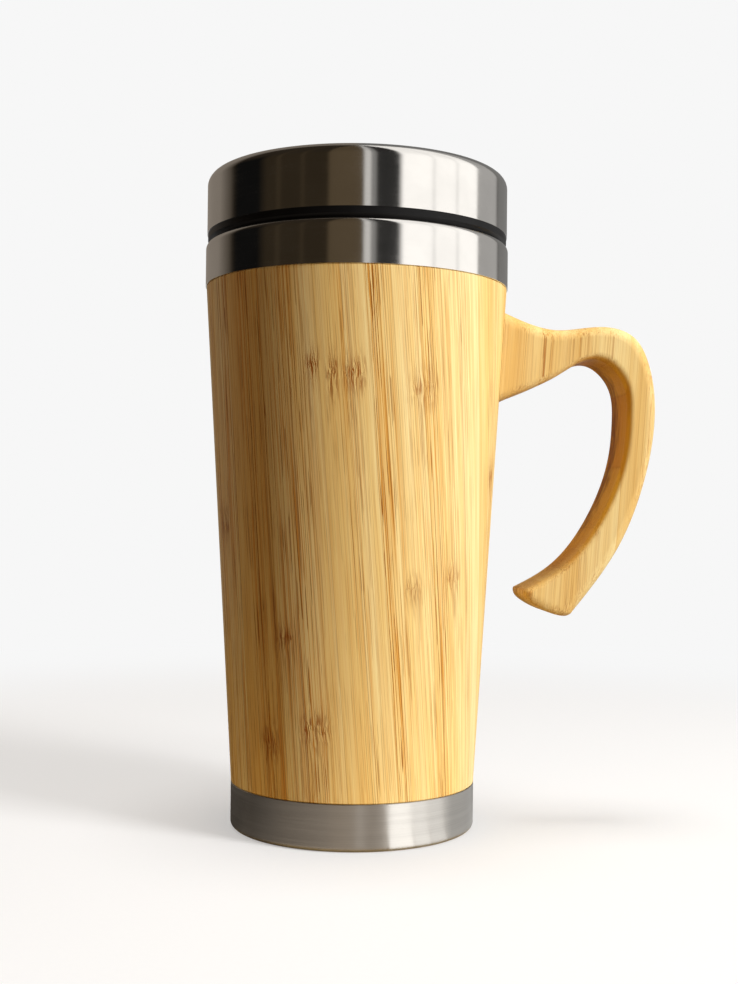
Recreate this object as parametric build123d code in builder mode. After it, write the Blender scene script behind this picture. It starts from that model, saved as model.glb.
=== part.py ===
from build123d import *
import os

# Driving sizes in millimetres
# The mug stands on its base at the origin, axis on +Z, handle on +X, drink hole on -Y

# Base cap, a drawn steel cup that the mug stands on
cap_diameter = 68.0
cap_height = 12.4
cap_wall = 0.6
cap_corner = 1.5
foot_width = 7.0
recess_depth = 1.4
recess_bend = 1.0

# Bamboo sleeve, a board of strips rolled to a cone between the base cap and the collar
sleeve_height = 137.6
sleeve_wall = 4.5
cap_proud = 0.05
collar_proud = 0.25
glue_gap = 0.05

# Mouth collar, a polished steel band that turns in over the rim
collar_diameter = 85.0
collar_height = 12.0
collar_wall = 0.6
shoulder_radius = 1.8

# Steel liner, the cup that holds the drink
liner_wall = 0.6
air_gap = 0.7
neck_depth = 16.0
neck_blend = 12.0
floor_gap = 3.0
floor_corner = 6.0
rim_bend = 1.6
rim_flat = 1.15

# Handle, sawn from a laminated bamboo board and rounded over
handle_below_collar = 19.0
handle_thickness = 20.0
handle_outer_rounding = 3.5
handle_inner_rounding = 2.3
root_bite = 3.0
saddle_length = 40.0
# Outlines as distance out from the sleeve and height over the middle of the root
handle_outer_line = [
    (-root_bite, 14.4),
    (5.2, 10.5),
    (14.4, 8.2),
    (29.3, 9.3),
    (36.9, 6.7),
    (41.6, -1.6),
    (43.2, -16.6),
    (40.1, -34.7),
    (32.9, -52.8),
    (18.9, -72.2),
]
handle_end_middle = (11.0, -70.3)
handle_inner_line = [
    (4.5, -65.6),
    (16.0, -58.8),
    (27.3, -44.6),
    (34.1, -25.6),
    (34.9, -16.1),
    (33.5, -6.4),
    (26.4, -0.2),
    (14.4, -5.2),
    (2.7, -10.6),
    (-root_bite, -13.2),
]

# Wood screws, driven from inside the sleeve into the handle
screw_rise = 1.0
screw_pitch = 9.0
screw_diameter = 3.5
screw_length = 15.0
screw_point = 3.0
head_diameter = 6.5
head_height = 2.0
screw_gap = 0.05

# Lid ring, polished steel trim pressed over the lid moulding
ring_step = 0.3
ring_height = 16.5
ring_wall = 0.6
ring_corner = 3.0
ring_width = 4.6
lip_corner = 1.2
lip_depth = 7.0

# Lid body, one black moulding with a deck, a flange on the rim and a plug
flange_step = 0.2
flange_height = 2.5
flange_chamfer = 0.8
skirt_wall = 2.5
deck_recess = 9.0
deck_thickness = 2.6
plug_gap = 0.8
plug_wall = 2.2
plug_depth = 13.0
plug_lead = 0.8
vent_diameter = 2.0
vent_inset = 6.0

# Lid gasket, a silicone ring with two lips in a groove of the plug
gasket_height = 4.2
gasket_drop = 7.0
groove_depth = 1.2
gasket_lip = 0.6
gasket_gap = 0.05

# Drink slide, its track in the deck and the drink hole under it
front_margin = 4.2
plate_width = 22.0
plate_length = 40.0
plate_thickness = 2.6
plate_corner = 8.0
plate_rounding = 0.6
track_depth = 1.0
track_gap = 0.15
slide_gap = 0.1
hole_length = 15.0
hole_width = 8.0
hole_margin = 7.5
open_clear = 1.5
seal_border = 1.6
seal_thickness = 1.2
seal_proud = 0.05
seal_gap = 0.05
grip_height = 4.3
grip_width = 14.0
grip_length = 13.0
grip_crest = 2.5
grip_back = 3.0
grip_bite = 0.5
grip_rounding = 1.0
rib_diameter = 1.0
rib_inset = 2.5
# Ribs as shares of the way down the scoop
rib_places = [0.3, 0.45, 0.6]
stem_width = 5.0
stem_length = 6.0
stem_behind = 22.5
stem_gap = 0.3
clip_size = 12.0
clip_thickness = 1.6
clip_corner = 2.0
clip_gap = 0.05
stake_border = 1.2
stake_height = 1.2

# Heights that follow from the stack of base cap, sleeve, collar, flange and ring
sleeve_z = cap_height
collar_z = sleeve_z + sleeve_height
mouth_z = collar_z + collar_height
ring_z = mouth_z + flange_height
top_z = ring_z + ring_height
deck_z = top_z - deck_recess
ceiling_z = deck_z - deck_thickness

# Radii of the sleeve and of what sits inside it
cap_radius = cap_diameter / 2
collar_radius = collar_diameter / 2
sleeve_foot_radius = cap_radius - cap_proud
sleeve_head_radius = collar_radius - collar_proud
taper = (sleeve_head_radius - sleeve_foot_radius) / sleeve_height


def sleeve_radius(z):
    """Outer radius of the sleeve's cone at height z."""
    return sleeve_foot_radius + taper * (z - sleeve_z)


def bore_radius(z):
    """Inner radius of the sleeve's cone at height z."""
    return sleeve_radius(z) - sleeve_wall


tenon_foot_radius = cap_radius - cap_wall - glue_gap
tenon_foot_z = cap_corner + glue_gap
tenon_head_radius = collar_radius - collar_wall - glue_gap
tenon_head_z = mouth_z - shoulder_radius - glue_gap
liner_z = recess_depth + cap_wall + floor_gap
liner_floor_z = liner_z + liner_wall
mouth_radius = bore_radius(collar_z) - air_gap - liner_wall
liner_floor_radius = bore_radius(liner_z) - air_gap - liner_wall
seam_radius = mouth_radius + rim_bend + rim_flat

# Radii of the lid
ring_radius = collar_radius - ring_step
lip_radius = ring_radius - ring_width
flange_radius = ring_radius - flange_step
rim_out_radius = ring_radius - ring_wall - glue_gap
rim_in_radius = lip_radius + ring_wall + glue_gap
rim_top_z = top_z - ring_corner
skirt_in_radius = rim_out_radius - skirt_wall
plug_radius = mouth_radius - plug_gap
plug_in_radius = plug_radius - plug_wall
plug_z = mouth_z - plug_depth
groove_radius = plug_radius - groove_depth
gasket_z = mouth_z - gasket_drop

# Places of the slide along Y with the lid shut
plate_front_y = front_margin - rim_in_radius
plate_back_y = plate_front_y + plate_length
hole_y = plate_front_y + hole_margin
slide_travel = hole_margin + hole_width / 2 + open_clear
stem_y = plate_front_y + stem_behind
track_floor_z = deck_z - track_depth
plate_z = track_floor_z + slide_gap
plate_top_z = plate_z + plate_thickness
clip_top_z = ceiling_z - slide_gap
clip_z = clip_top_z - clip_thickness
stake_z = clip_z - clip_gap - stake_height
seal_length = hole_length + 2 * seal_border
seal_width = hole_width + 2 * seal_border
seal_z = plate_z - seal_proud

# Places of the handle and its screws
root_z = collar_z - handle_below_collar
root_x = sleeve_radius(root_z)
screw_middle_z = root_z + screw_rise
screw_heights = [screw_middle_z - screw_pitch / 2, screw_middle_z + screw_pitch / 2]


def handle_point(out, up):
    """A point of the handle's outline in the XZ plane."""
    return (root_x + out, root_z + up)


def screw_plane(z):
    """Plane across a screw at its head, facing the mug's axis."""
    return Plane(origin=(bore_radius(z) + screw_gap, 0, z), x_dir=(0, 1, 0), z_dir=(-1, 0, 0))


# Base cap, one sheet from the stamped recess out to the foot and up the side
with BuildPart() as base_cap:
    with BuildSketch(Plane.XZ):
        with BuildLine():
            foot_inner = cap_radius - foot_width
            FilletPolyline(
                (0, recess_depth),
                (foot_inner - recess_depth, recess_depth),
                (foot_inner, 0),
                (cap_radius, 0),
                (cap_radius, cap_height),
                radius=[recess_bend, recess_bend, cap_corner],
            )
            offset(amount=cap_wall, side=Side.LEFT)
        make_face()
    revolve(axis=Axis.Z)

# Bamboo sleeve with a tenon at each end, one in the base cap and one in the collar
with BuildPart() as bamboo_sleeve:
    with BuildSketch(Plane.XZ):
        with BuildLine():
            Polyline(
                (bore_radius(tenon_foot_z), tenon_foot_z),
                (tenon_foot_radius, tenon_foot_z),
                (tenon_foot_radius, sleeve_z),
                (sleeve_foot_radius, sleeve_z),
                (sleeve_head_radius, collar_z),
                (tenon_head_radius, collar_z),
                (tenon_head_radius, tenon_head_z),
                (bore_radius(collar_z), tenon_head_z),
                (bore_radius(collar_z), collar_z),
                close=True,
            )
        make_face()
    revolve(axis=Axis.Z)
    for height in screw_heights:
        with Locations(screw_plane(height)):
            CounterBoreHole(
                radius=screw_diameter / 2 + screw_gap,
                counter_bore_radius=head_diameter / 2 + screw_gap,
                counter_bore_depth=head_height + screw_gap,
                depth=2 * sleeve_wall,
            )

# Mouth collar, down the outside and in over the rim to the weld seam
with BuildPart() as mouth_collar:
    with BuildSketch(Plane.XZ):
        with BuildLine():
            FilletPolyline(
                (seam_radius, mouth_z),
                (collar_radius, mouth_z),
                (collar_radius, collar_z),
                radius=[shoulder_radius],
            )
            offset(amount=collar_wall, side=Side.RIGHT)
        make_face()
    revolve(axis=Axis.Z)

# Steel liner, from the floor up the taper and the neck, then out to the weld seam
with BuildPart() as steel_liner:
    with BuildSketch(Plane.XZ):
        with BuildLine():
            FilletPolyline(
                (0, liner_floor_z),
                (liner_floor_radius, liner_floor_z),
                (mouth_radius, mouth_z - neck_depth),
                (mouth_radius, mouth_z),
                (seam_radius, mouth_z),
                radius=[floor_corner, neck_blend, rim_bend],
            )
            offset(amount=liner_wall, side=Side.RIGHT)
        make_face()
    revolve(axis=Axis.Z)

# Handle, the board's outline rounded over and its root cut to the sleeve's cone
with BuildPart() as handle:
    with BuildSketch(Plane.XZ):
        with BuildLine():
            outer_points = [handle_point(out, up) for out, up in handle_outer_line]
            inner_points = [handle_point(out, up) for out, up in handle_inner_line]
            Spline(*outer_points)
            ThreePointArc(outer_points[-1], handle_point(*handle_end_middle), inner_points[0])
            Spline(*inner_points)
            Line(inner_points[-1], outer_points[0])
        make_face()
    extrude(amount=handle_thickness / 2, both=True)
    sides = handle.faces().sort_by(Axis.Y)
    outer_rims = (sides[0].edges() + sides[-1].edges()).group_by(Axis.X)[3]
    fillet(outer_rims, radius=handle_outer_rounding)
    sides = handle.faces().sort_by(Axis.Y)
    inner_rims = (sides[0].edges() + sides[-1].edges()).sort_by(Axis.X)[2:6]
    fillet(inner_rims, radius=handle_inner_rounding)
    with BuildSketch(Plane.XZ):
        with BuildLine():
            saddle_foot_z = root_z - saddle_length / 2
            saddle_head_z = root_z + saddle_length / 2
            Polyline(
                (0, saddle_foot_z),
                (sleeve_radius(saddle_foot_z) + glue_gap, saddle_foot_z),
                (sleeve_radius(saddle_head_z) + glue_gap, saddle_head_z),
                (0, saddle_head_z),
                close=True,
            )
        make_face()
    revolve(axis=Axis.Z, mode=Mode.SUBTRACT)
    for height in screw_heights:
        with Locations(screw_plane(height)):
            Hole(radius=screw_diameter / 2 + screw_gap, depth=head_height + screw_length + 2 * screw_gap)

# Handle screws, a flat head on a pointed shank, each turned about its own axis
with BuildPart() as handle_screws:
    for height in screw_heights:
        head_x = bore_radius(height) + screw_gap
        shank_x = head_x + head_height
        tip_x = shank_x + screw_length
        with BuildSketch(Plane.XZ):
            with BuildLine():
                Polyline(
                    (head_x, height),
                    (head_x, height + head_diameter / 2),
                    (shank_x, height + head_diameter / 2),
                    (shank_x, height + screw_diameter / 2),
                    (tip_x - screw_point, height + screw_diameter / 2),
                    (tip_x, height),
                    close=True,
                )
            make_face()
        revolve(axis=Axis((0, 0, height), (1, 0, 0)))

# Lid body, with the deck sunk in its rim and the plug hanging in the mouth
with BuildPart() as lid_body:
    with BuildSketch(Plane.XZ):
        with BuildLine():
            Polyline(
                (0, deck_z),
                (rim_in_radius, deck_z),
                (rim_in_radius, rim_top_z),
                (rim_out_radius, rim_top_z),
                (rim_out_radius, ring_z),
                (flange_radius, ring_z),
                (flange_radius, mouth_z + flange_chamfer),
                (flange_radius - flange_chamfer, mouth_z),
                (skirt_in_radius, mouth_z),
                (skirt_in_radius, ceiling_z),
                (plug_radius, ceiling_z),
                (plug_radius, plug_z + plug_lead),
                (plug_radius - plug_lead, plug_z),
                (plug_in_radius, plug_z),
                (plug_in_radius, ceiling_z),
                (0, ceiling_z),
                close=True,
            )
        make_face()
    revolve(axis=Axis.Z)
    with BuildSketch(Plane.XZ):
        with Locations((plug_radius, gasket_z)):
            Rectangle(2 * groove_depth, gasket_height)
    revolve(axis=Axis.Z, mode=Mode.SUBTRACT)
    with BuildSketch(Plane.XY.offset(deck_z)):
        with Locations((0, (plate_front_y + plate_back_y + slide_travel) / 2)):
            RectangleRounded(
                plate_width + 2 * track_gap,
                plate_length + slide_travel + 2 * track_gap,
                plate_corner + track_gap,
            )
    extrude(amount=-track_depth, mode=Mode.SUBTRACT)
    with BuildSketch(Plane.XY.offset(deck_z)):
        with Locations((0, hole_y)):
            SlotOverall(hole_length, hole_width)
        with Locations((0, stem_y + slide_travel / 2)):
            Rectangle(stem_width + 2 * stem_gap, stem_length + slide_travel + 2 * stem_gap)
        with Locations((0, rim_in_radius - vent_inset)):
            Circle(vent_diameter / 2)
    extrude(amount=-deck_thickness, mode=Mode.SUBTRACT)

# Lid ring, up the outside, over the rim and down the inside
with BuildPart() as lid_ring:
    with BuildSketch(Plane.XZ):
        with BuildLine():
            FilletPolyline(
                (ring_radius, ring_z),
                (ring_radius, top_z),
                (lip_radius, top_z),
                (lip_radius, top_z - lip_depth),
                radius=[ring_corner, lip_corner],
            )
            offset(amount=ring_wall, side=Side.LEFT)
        make_face()
    revolve(axis=Axis.Z)

# Lid gasket, a band in the groove with a lip at each edge
with BuildPart() as lid_gasket:
    with BuildSketch(Plane.XZ):
        with BuildLine():
            band_low_z = gasket_z - gasket_height / 2 + gasket_gap
            band_high_z = gasket_z + gasket_height / 2 - gasket_gap
            seal_radius = mouth_radius - gasket_gap
            Polyline(
                (groove_radius + gasket_gap, band_low_z),
                (plug_radius, band_low_z),
                (seal_radius, band_low_z + gasket_lip),
                (seal_radius, band_low_z + 2 * gasket_lip),
                (plug_radius, gasket_z - gasket_lip / 2),
                (plug_radius, gasket_z + gasket_lip / 2),
                (seal_radius, band_high_z - 2 * gasket_lip),
                (seal_radius, band_high_z - gasket_lip),
                (plug_radius, band_high_z),
                (groove_radius + gasket_gap, band_high_z),
                close=True,
            )
        make_face()
    revolve(axis=Axis.Z)

# Thumb slide, a plate with a scooped and ribbed grip, a pocket for its seal and a staked stem
with BuildPart() as thumb_slide:
    with BuildSketch(Plane.XY.offset(plate_z)):
        with Locations((0, (plate_front_y + plate_back_y) / 2)):
            RectangleRounded(plate_width, plate_length, plate_corner)
    extrude(amount=plate_thickness)
    fillet(thumb_slide.faces().sort_by(Axis.Z)[-1].edges(), radius=plate_rounding)
    with BuildSketch(Plane.YZ):
        with BuildLine():
            grip_back_y = plate_back_y - grip_back
            grip_front_y = grip_back_y - grip_length
            grip_root_z = plate_top_z - grip_bite
            crest_z = plate_top_z + grip_height
            Polyline(
                (grip_front_y, grip_root_z),
                (grip_back_y, grip_root_z),
                (grip_back_y, crest_z),
                (grip_back_y - grip_crest, crest_z),
            )
            crest_front = (grip_back_y - grip_crest, crest_z)
            scoop = RadiusArc(crest_front, (grip_front_y, grip_root_z), grip_length)
        make_face()
    extrude(amount=grip_width / 2, both=True)
    grip_edges = thumb_slide.edges().filter_by_position(Axis.Z, plate_top_z + grip_bite, crest_z)
    fillet(grip_edges, radius=grip_rounding)
    with BuildSketch(Plane.YZ):
        with Locations(*[scoop @ place for place in rib_places]):
            Circle(rib_diameter / 2)
    extrude(amount=grip_width / 2 - rib_inset, both=True)
    with BuildSketch(Plane.XY.offset(plate_z)):
        with Locations((0, hole_y)):
            SlotOverall(seal_length + 2 * seal_gap, seal_width + 2 * seal_gap)
    extrude(amount=seal_thickness - seal_proud, mode=Mode.SUBTRACT)
    with BuildSketch(Plane.XY.offset(plate_z)):
        with Locations((0, stem_y)):
            Rectangle(stem_width, stem_length)
    extrude(amount=stake_z - plate_z)
    with BuildSketch(Plane.XY.offset(stake_z)):
        with Locations((0, stem_y)):
            Rectangle(stem_width + 2 * stake_border, stem_length + 2 * stake_border)
    extrude(amount=stake_height)

# Slide seal, a silicone pad in the plate's pocket over the drink hole
with BuildPart() as slide_seal:
    with BuildSketch(Plane.XY.offset(seal_z)):
        with Locations((0, hole_y)):
            SlotOverall(seal_length, seal_width)
    extrude(amount=seal_thickness)

# Slide clip, the washer that holds the stem under the deck
with BuildPart() as slide_clip:
    with BuildSketch(Plane.XY.offset(clip_z)):
        with Locations((0, stem_y)):
            RectangleRounded(clip_size, clip_size, clip_corner)
            Rectangle(stem_width + 2 * clip_gap, stem_length + 2 * clip_gap, mode=Mode.SUBTRACT)
    extrude(amount=clip_thickness)

base_cap.part.label = "base_cap"
bamboo_sleeve.part.label = "bamboo_sleeve"
mouth_collar.part.label = "mouth_collar"
steel_liner.part.label = "steel_liner"
handle.part.label = "handle"
handle_screws.part.label = "handle_screws"
lid_body.part.label = "lid_body"
lid_ring.part.label = "lid_ring"
lid_gasket.part.label = "lid_gasket"
thumb_slide.part.label = "thumb_slide"
slide_seal.part.label = "slide_seal"
slide_clip.part.label = "slide_clip"

os.makedirs("parts", exist_ok=True)
export_step(base_cap.part, "parts/base_cap.step")
export_step(bamboo_sleeve.part, "parts/bamboo_sleeve.step")
export_step(mouth_collar.part, "parts/mouth_collar.step")
export_step(steel_liner.part, "parts/steel_liner.step")
export_step(handle.part, "parts/handle.step")
export_step(handle_screws.part, "parts/handle_screws.step")
export_step(lid_body.part, "parts/lid_body.step")
export_step(lid_ring.part, "parts/lid_ring.step")
export_step(lid_gasket.part, "parts/lid_gasket.step")
export_step(thumb_slide.part, "parts/thumb_slide.step")
export_step(slide_seal.part, "parts/slide_seal.step")
export_step(slide_clip.part, "parts/slide_clip.step")
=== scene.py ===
import math

import bmesh
import bpy
import numpy as np
from mathutils import Matrix, Vector


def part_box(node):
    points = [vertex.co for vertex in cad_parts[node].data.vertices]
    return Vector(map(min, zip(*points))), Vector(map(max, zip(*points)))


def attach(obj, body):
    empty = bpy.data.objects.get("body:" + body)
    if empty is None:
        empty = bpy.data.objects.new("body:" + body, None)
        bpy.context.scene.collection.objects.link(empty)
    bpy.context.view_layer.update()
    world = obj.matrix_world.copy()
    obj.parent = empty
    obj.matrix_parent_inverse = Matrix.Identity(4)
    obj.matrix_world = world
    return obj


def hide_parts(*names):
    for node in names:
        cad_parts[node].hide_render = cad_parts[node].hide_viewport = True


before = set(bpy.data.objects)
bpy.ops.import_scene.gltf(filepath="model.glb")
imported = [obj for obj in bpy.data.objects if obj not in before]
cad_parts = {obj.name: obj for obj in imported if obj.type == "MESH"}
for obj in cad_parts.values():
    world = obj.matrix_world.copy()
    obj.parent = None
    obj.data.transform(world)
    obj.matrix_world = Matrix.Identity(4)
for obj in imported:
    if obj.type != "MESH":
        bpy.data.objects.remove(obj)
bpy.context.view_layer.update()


# Base cap
# A shallow cup drawn from stainless sheet and brushed on a lathe, so its hairlines run round it.
# It is glued over the foot of the sleeve, and the mug stands on its foot ring.

_, cap_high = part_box("base_cap")
cap_radius = cap_high.x
cap_height = cap_high.z
cap_wall = 0.0006
cap_corner = 0.0015
foot_width = 0.007
recess_depth = 0.0014
recess_bend = 0.001
cap_edge = 0.00015


def unit(vector):
    """The vector over its length."""
    return vector / np.linalg.norm(vector)


def rounded_line(corners, radii, steps=8, guard=0.0003):
    """A line through the corners with each inner corner turned into an arc of its radius.

    The arc's centre lies on the corner's bisector, radius over sine of half the angle away, and the
    arc is the spherical mean of its two ends. A guard point on each leg keeps the flats flat.
    """
    corners = np.asarray(corners, float)
    first_leg = unit(corners[1] - corners[0])
    last_leg = unit(corners[-1] - corners[-2])
    line = [corners[0], corners[0] + first_leg * guard]
    for before, corner, after, radius in zip(corners, corners[1:], corners[2:], radii):
        back = unit(before - corner)
        ahead = unit(after - corner)
        half = math.acos(back @ ahead) / 2
        sweep = math.pi - 2 * half
        centre = corner + unit(back + ahead) * radius / math.sin(half)
        start = corner + back * radius / math.tan(half)
        end = corner + ahead * radius / math.tan(half)
        share = np.linspace(0, 1, steps + 1)[:, None]
        first = np.sin((1 - share) * sweep) * (start - centre)
        last = np.sin(share * sweep) * (end - centre)
        line.append(start + back * guard)
        line.extend(centre + (first + last) / math.sin(sweep))
        line.append(end + ahead * guard)
    line.extend([corners[-1] - last_leg * guard, corners[-1]])
    return np.array(line)


def sheet_section(line, wall, edge_depth=0.00003):
    """The section of a bent sheet: the line, and the same line moved left by the wall.

    The cut edges are half ellipses of the edge depth, as left by deburring. A line with one end on
    the axis has no edge there, and its section runs from axis to axis.
    """
    along = np.gradient(line, axis=0)
    along /= np.linalg.norm(along, axis=1)[:, None]
    left = np.stack([-along[:, 1], along[:, 0]], axis=1)
    starts_on_axis, ends_on_axis = line[0, 0] == 0, line[-1, 0] == 0
    near = line.copy()
    near[0] += 0 if starts_on_axis else along[0] * edge_depth
    near[-1] -= 0 if ends_on_axis else along[-1] * edge_depth
    far = near + wall * left
    swing = np.linspace(0, np.pi, 7)[1:-1, None]
    last_edge = (near[-1] + far[-1]) / 2 + np.cos(swing) * (near[-1] - far[-1]) / 2
    last_edge = last_edge + np.sin(swing) * along[-1] * edge_depth
    first_edge = (near[0] + far[0]) / 2 + np.cos(swing) * (far[0] - near[0]) / 2
    first_edge = first_edge - np.sin(swing) * along[0] * edge_depth
    if starts_on_axis:
        return np.concatenate([near, last_edge, far[::-1]])
    if ends_on_axis:
        return np.concatenate([far[::-1], first_edge, near])
    return np.concatenate([near, last_edge, far[::-1], first_edge])


def ring_faces(rows, columns, closed):
    """Quads between neighbouring rings of a grid; closed joins the last ring to the first."""
    row = np.arange(rows if closed else rows - 1)[:, None]
    column = np.arange(columns)[None, :]
    next_row = (row + 1) % rows
    next_column = (column + 1) % columns
    corners = [
        row * columns + column,
        row * columns + next_column,
        next_row * columns + next_column,
        next_row * columns + column,
    ]
    return np.stack(corners, axis=-1).reshape(-1, 4)


def new_piece(name, points, faces, crease=40.0):
    """A mesh object from a grid of points, smooth but for edges sharper than the crease angle."""
    mesh = bpy.data.meshes.new(name)
    mesh.from_pydata(points.reshape(-1, 3).tolist(), [], faces.tolist())
    mesh.validate()
    mesh.shade_smooth()
    mesh.set_sharp_from_angle(angle=math.radians(crease))
    piece = bpy.data.objects.new(name, mesh)
    bpy.context.scene.collection.objects.link(piece)
    return piece


def weld(piece):
    """Joins points that lie in one place, which closes poles and folded ends."""
    shape = bmesh.new()
    shape.from_mesh(piece.data)
    bmesh.ops.remove_doubles(shape, verts=shape.verts, dist=1e-7)
    shape.to_mesh(piece.data)
    shape.free()


def turned(name, section, sides=288, start=0.0):
    """A surface of revolution: every (radius, height) of the section is carried round the Z axis.

    The section runs anticlockwise in the half plane of radius and height, so faces look outwards.
    It is a closed loop, or it runs from axis to axis.
    """
    angle = start + np.linspace(0, 2 * np.pi, sides, endpoint=False)
    radius, height = section.T
    points = np.stack(
        [
            np.outer(radius, np.cos(angle)),
            np.outer(radius, np.sin(angle)),
            np.outer(height, np.ones(sides)),
        ],
        axis=-1,
    )
    piece = new_piece(name, points, ring_faces(len(section), sides, section[0, 0] > 0))
    weld(piece)
    return piece


def new_material(name):
    """An empty node material, its tree and its surface shader."""
    material = bpy.data.materials.new(name)
    material.use_nodes = True
    return material, material.node_tree, material.node_tree.nodes["Principled BSDF"]


def add(tree, kind, inputs=None, **settings):
    """A shader node with its settings; each input takes a value or another node's output."""
    made = tree.nodes.new(kind)
    for key, value in settings.items():
        setattr(made, key, value)
    for key, value in (inputs or {}).items():
        if isinstance(value, bpy.types.NodeSocket):
            tree.links.new(value, made.inputs[key])
        else:
            made.inputs[key].default_value = value
    return made


def maths(tree, operation, *values):
    """A Math node's output."""
    return add(tree, "ShaderNodeMath", dict(enumerate(values)), operation=operation).outputs[0]


def remap(tree, value, from_low, from_high, to_low=0.0, to_high=1.0, smooth=True):
    """A value carried from one range to another, clamped, on a smooth step or a straight line."""
    made = add(
        tree,
        "ShaderNodeMapRange",
        {0: value, 1: from_low, 2: from_high, 3: to_low, 4: to_high},
        interpolation_type="SMOOTHSTEP" if smooth else "LINEAR",
    )
    return made.outputs[0]


def mix(tree, share, first, second, blend="MIX"):
    """A colour between two colours."""
    inputs = {0: share, 6: first, 7: second}
    return add(tree, "ShaderNodeMix", inputs, data_type="RGBA", blend_type=blend).outputs[2]


def noise(tree, vector, scale, detail):
    """A Noise Texture's value."""
    inputs = {"Vector": vector, "Scale": scale, "Detail": detail}
    return add(tree, "ShaderNodeTexNoise", inputs).outputs[0]


def tint(red, green, blue):
    """A screen colour of 0 to 255 as the linear colour that a shader takes."""
    screen = np.array([red, green, blue]) / 255
    linear = np.where(screen <= 0.04045, screen / 12.92, ((screen + 0.055) / 1.055) ** 2.4)
    return (*linear.tolist(), 1.0)


def dimmed(colour, share):
    """A darker colour: each of its parts times the share."""
    return tuple(share * part for part in colour[:3]) + (1.0,)


def lathe_lines(tree, fineness, detail=3.0):
    """Noise drawn out into rings: it changes fast along the section and slowly round the axis.

    Its coordinates are the unit direction from the axis and the sum of height and radius.
    """
    place = add(tree, "ShaderNodeTexCoord").outputs["Object"]
    axes = add(tree, "ShaderNodeSeparateXYZ", {0: place})
    flat = add(tree, "ShaderNodeCombineXYZ", {0: axes.outputs[0], 1: axes.outputs[1]}).outputs[0]
    radius = add(tree, "ShaderNodeVectorMath", {0: flat}, operation="LENGTH").outputs["Value"]
    round_about = add(tree, "ShaderNodeVectorMath", {0: flat}, operation="NORMALIZE").outputs[0]
    section = maths(tree, "MULTIPLY", maths(tree, "ADD", axes.outputs[2], radius), fineness)
    upward = add(tree, "ShaderNodeCombineXYZ", {2: section}).outputs[0]
    vector = add(tree, "ShaderNodeVectorMath", {0: round_about, 1: upward}, operation="ADD").outputs[0]
    return noise(tree, vector, 1.0, detail)


def lathe_metal(tree, shader, stretch):
    """Makes a shader a metal whose mirrored light is drawn out across the lathe lines."""
    shader.inputs["Metallic"].default_value = 1.0
    shader.inputs["Anisotropic"].default_value = stretch
    shader.inputs["Anisotropic Rotation"].default_value = 0.25
    radial = add(tree, "ShaderNodeTangent", direction_type="RADIAL", axis="Z")
    tree.links.new(radial.outputs[0], shader.inputs["Tangent"])


def brushed_steel(name, colour, roughness, grain):
    """Stainless steel with lathe hairlines in its gloss, tone and relief."""
    material, tree, shader = new_material(name)
    hairlines = lathe_lines(tree, fineness=5200.0)
    bands = lathe_lines(tree, fineness=700.0, detail=1.0)
    dark = dimmed(colour, 0.82)
    tone = maths(tree, "MULTIPLY_ADD", bands, 0.35, maths(tree, "MULTIPLY", hairlines, 0.65))
    tree.links.new(mix(tree, remap(tree, tone, 0.3, 0.7), dark, colour), shader.inputs["Base Color"])
    gloss = remap(tree, hairlines, 0.25, 0.75, roughness * 0.8, roughness * 1.25, smooth=False)
    tree.links.new(gloss, shader.inputs["Roughness"])
    relief = add(tree, "ShaderNodeBump", {"Strength": grain, "Distance": 0.00002, "Height": hairlines})
    tree.links.new(relief.outputs[0], shader.inputs["Normal"])
    lathe_metal(tree, shader, stretch=1.0)
    return material


foot_inner = cap_radius - foot_width
cap_line = rounded_line(
    [
        (0.0, recess_depth),
        (foot_inner - recess_depth, recess_depth),
        (foot_inner, 0),
        (cap_radius, 0),
        (cap_radius, cap_height),
    ],
    [recess_bend, recess_bend, cap_corner],
)
base_cap = turned("drawn_base_cap", sheet_section(cap_line, cap_wall, cap_edge))
base_cap.data.materials.append(
    brushed_steel("brushed base steel", tint(203, 200, 195), roughness=0.37, grain=0.2)
)
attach(base_cap, "mug")
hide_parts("base_cap")


# Bamboo sleeve
# A board of bamboo strips rolled into a cone and lacquered. Its grain is straight on the flat board,
# so on the cone it leans away from the axis. A tenon at each end sits in the collar and the base cap.

sleeve_low, sleeve_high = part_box("bamboo_sleeve")
collar_low, collar_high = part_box("mouth_collar")
sleeve_wall = 0.0045
sleeve_foot_z = cap_height
sleeve_head_z = collar_low.z
glue_gap = 0.00005
collar_step = 0.00025
tenon_inset = 0.00065
sleeve_foot_radius = cap_radius - glue_gap
sleeve_head_radius = collar_high.x - collar_step
sleeve_taper = (sleeve_head_radius - sleeve_foot_radius) / (sleeve_head_z - sleeve_foot_z)
tenon_foot_radius = cap_radius - cap_wall - glue_gap
tenon_head_radius = collar_high.x - tenon_inset
edge_break = 0.0003
sleeve_rows = 150
sleeve_sides = 384
seam_angle = math.radians(12.0)
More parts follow.
